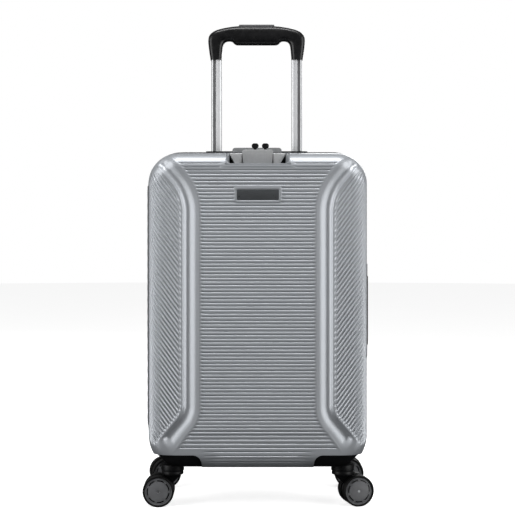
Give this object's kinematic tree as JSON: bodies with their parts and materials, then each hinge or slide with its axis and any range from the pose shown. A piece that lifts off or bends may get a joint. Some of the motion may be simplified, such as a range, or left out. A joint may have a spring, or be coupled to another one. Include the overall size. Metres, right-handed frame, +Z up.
{
  "type": "hard shell suitcase",
  "caption": "Ribbed hard shell suitcase that opens like a book, on swivelling twin-wheel casters, with a telescopic handle, sprung carry handles and a dial lock on top.",
  "frame": {"origin": "on the floor under the middle of the case, wheels at z = 0", "axes": "+X right as seen from the front, +Y back (the telescopic handle's side), +Z up"},
  "size_m": [0.3727, 0.23, 0.7978],
  "materials": {
    "shell": "silver grey pearl, semi gloss, ribbed",
    "zip_tape": "woven nylon tape",
    "zip_teeth": "moulded coil",
    "piping": "woven piping",
    "lining": "thin woven polyester",
    "strap": "woven elastic",
    "buckle": "moulded",
    "tray": "fine grain",
    "aluminium_tube": "drawn and anodised",
    "handle_mount": "fine grain",
    "nameplate": "dark satin with a bevelled rim, blank",
    "lock": "satin silver grey",
    "pocket_mesh": "knitted mesh",
    "grip": "satin black",
    "button": "satin dark grey",
    "top_handle": "satin silver grey",
    "side_handle": "soft black",
    "zip_slider": "black lacquer",
    "dial": "knurled",
    "latch": "satin",
    "housing": "fine grain",
    "fork": "satin",
    "axle": "turned",
    "hub": "satin dark grey",
    "tyre": "smooth polyurethane"
  },
  "bodies": {
    "rear_case": {"rear_shell": "shell", "rear_zip_tape": "zip_tape", "rear_zip_teeth": "zip_teeth", "hinge_piping": "piping", "rear_lining": "lining", "packing_straps": "strap", "strap_buckle": "buckle", "handle_tray": "tray", "outer_tubes": "aluminium_tube", "tube_foot": "tray", "top_handle_mounts": "handle_mount", "side_handle_mounts": "handle_mount", "rear_left_housing": "housing", "rear_right_housing": "housing"},
    "front_case": {"front_shell": "shell", "front_zip_tape": "zip_tape", "front_zip_teeth": "zip_teeth", "nameplate": "nameplate", "lock_base": "lock", "lock_body": "lock", "front_lining": "lining", "front_pocket": "pocket_mesh", "front_left_housing": "housing", "front_right_housing": "housing"},
    "handle_middle": {"middle_tubes": "aluminium_tube"},
    "handle_top": {"top_tubes": "aluminium_tube", "grip": "grip"},
    "release_button": {"release_button": "button"},
    "top_handle": {"top_handle": "top_handle"},
    "side_handle": {"side_handle": "side_handle"},
    "left_zip_slider": {"left_zip_slider": "zip_slider"},
    "right_zip_slider": {"right_zip_slider": "zip_slider"},
    "lock_dial_1": {"lock_dial_1": "dial"},
    "lock_dial_2": {"lock_dial_2": "dial"},
    "lock_dial_3": {"lock_dial_3": "dial"},
    "lock_latch": {"lock_latch": "latch"},
    "front_left_fork": {"front_left_fork": "fork", "front_left_axle": "axle"},
    "front_left_wheel_outer": {"front_left_hub_outer": "hub", "front_left_tyre_outer": "tyre"},
    "front_left_wheel_inner": {"front_left_hub_inner": "hub", "front_left_tyre_inner": "tyre"},
    "front_right_fork": {"front_right_fork": "fork", "front_right_axle": "axle"},
    "front_right_wheel_outer": {"front_right_hub_outer": "hub", "front_right_tyre_outer": "tyre"},
    "front_right_wheel_inner": {"front_right_hub_inner": "hub", "front_right_tyre_inner": "tyre"},
    "rear_left_fork": {"rear_left_fork": "fork", "rear_left_axle": "axle"},
    "rear_left_wheel_outer": {"rear_left_hub_outer": "hub", "rear_left_tyre_outer": "tyre"},
    "rear_left_wheel_inner": {"rear_left_hub_inner": "hub", "rear_left_tyre_inner": "tyre"},
    "rear_right_fork": {"rear_right_fork": "fork", "rear_right_axle": "axle"},
    "rear_right_wheel_outer": {"rear_right_hub_outer": "hub", "rear_right_tyre_outer": "tyre"},
    "rear_right_wheel_inner": {"rear_right_hub_inner": "hub", "rear_right_tyre_inner": "tyre"}
  },
  "joints": [
    {"name": "case_hinge", "type": "hinge", "parent": "rear_case", "child": "front_case", "pos_m": [-0.1826, 0, 0.3165], "axis": [0, 0, -1], "range_deg": [0, 170]},
    {"name": "handle_middle_slide", "type": "slide", "parent": "rear_case", "child": "handle_middle", "axis": [0, 0, 1], "range_m": [0, 0.205]},
    {"name": "handle_top_slide", "type": "slide", "parent": "handle_middle", "child": "handle_top", "axis": [0, 0, 1], "range_m": [-0.218, 0]},
    {"name": "release_button_press", "type": "slide", "parent": "handle_top", "child": "release_button", "axis": [0, 0, -1], "range_m": [0, 0.003], "stiffness_N_per_m": 500},
    {"name": "top_handle_pull", "type": "slide", "parent": "rear_case", "child": "top_handle", "axis": [0, 0, 1], "range_m": [0, 0.012], "stiffness_N_per_m": 300},
    {"name": "side_handle_pull", "type": "slide", "parent": "rear_case", "child": "side_handle", "axis": [1, 0, 0], "range_m": [0, 0.012], "stiffness_N_per_m": 300},
    {"name": "left_zip_slide", "type": "slide", "parent": "rear_case", "child": "left_zip_slider", "axis": [-1, 0, 0], "range_m": [0, 0.1]},
    {"name": "right_zip_slide", "type": "slide", "parent": "rear_case", "child": "right_zip_slider", "axis": [1, 0, 0], "range_m": [0, 0.1]},
    {"name": "lock_latch_slide", "type": "slide", "parent": "front_case", "child": "lock_latch", "axis": [0, -1, 0], "range_m": [0, 0.005], "stiffness_N_per_m": 200},
    {"name": "lock_dial_1_turn", "type": "hinge", "parent": "front_case", "child": "lock_dial_1", "pos_m": [-0.014, -0.03, 0.5642], "axis": [1, 0, 0], "continuous": true},
    {"name": "lock_dial_2_turn", "type": "hinge", "parent": "front_case", "child": "lock_dial_2", "pos_m": [-0.006, -0.03, 0.5642], "axis": [1, 0, 0], "continuous": true},
    {"name": "lock_dial_3_turn", "type": "hinge", "parent": "front_case", "child": "lock_dial_3", "pos_m": [0.002, -0.03, 0.5642], "axis": [1, 0, 0], "continuous": true},
    {"name": "front_left_swivel", "type": "hinge", "parent": "front_case", "child": "front_left_fork", "pos_m": [-0.1365, -0.078, 0.06], "axis": [0, 0, 1], "continuous": true},
    {"name": "front_left_roll_outer", "type": "hinge", "parent": "front_left_fork", "child": "front_left_wheel_outer", "pos_m": [-0.1585, -0.078, 0.025], "axis": [0, -1, 0], "continuous": true},
    {"name": "front_left_roll_inner", "type": "hinge", "parent": "front_left_fork", "child": "front_left_wheel_inner", "pos_m": [-0.1585, -0.078, 0.025], "axis": [0, -1, 0], "continuous": true},
    {"name": "front_right_swivel", "type": "hinge", "parent": "front_case", "child": "front_right_fork", "pos_m": [0.1365, -0.078, 0.06], "axis": [0, 0, 1], "continuous": true},
    {"name": "front_right_roll_outer", "type": "hinge", "parent": "front_right_fork", "child": "front_right_wheel_outer", "pos_m": [0.15794, -0.07305, 0.025], "axis": [-0.225, 0.9744, 0], "continuous": true},
    {"name": "front_right_roll_inner", "type": "hinge", "parent": "front_right_fork", "child": "front_right_wheel_inner", "pos_m": [0.15794, -0.07305, 0.025], "axis": [-0.225, 0.9744, 0], "continuous": true},
    {"name": "rear_left_swivel", "type": "hinge", "parent": "rear_case", "child": "rear_left_fork", "pos_m": [-0.1365, 0.078, 0.06], "axis": [0, 0, 1], "continuous": true},
    {"name": "rear_left_roll_outer", "type": "hinge", "parent": "rear_left_fork", "child": "rear_left_wheel_outer", "pos_m": [-0.15794, 0.07305, 0.025], "axis": [0.225, -0.9744, 0], "continuous": true},
    {"name": "rear_left_roll_inner", "type": "hinge", "parent": "rear_left_fork", "child": "rear_left_wheel_inner", "pos_m": [-0.15794, 0.07305, 0.025], "axis": [0.225, -0.9744, 0], "continuous": true},
    {"name": "rear_right_swivel", "type": "hinge", "parent": "rear_case", "child": "rear_right_fork", "pos_m": [0.1365, 0.078, 0.06], "axis": [0, 0, 1], "continuous": true},
    {"name": "rear_right_roll_outer", "type": "hinge", "parent": "rear_right_fork", "child": "rear_right_wheel_outer", "pos_m": [0.1585, 0.078, 0.025], "axis": [0, 1, 0], "continuous": true},
    {"name": "rear_right_roll_inner", "type": "hinge", "parent": "rear_right_fork", "child": "rear_right_wheel_inner", "pos_m": [0.1585, 0.078, 0.025], "axis": [0, 1, 0], "continuous": true}
  ]
}
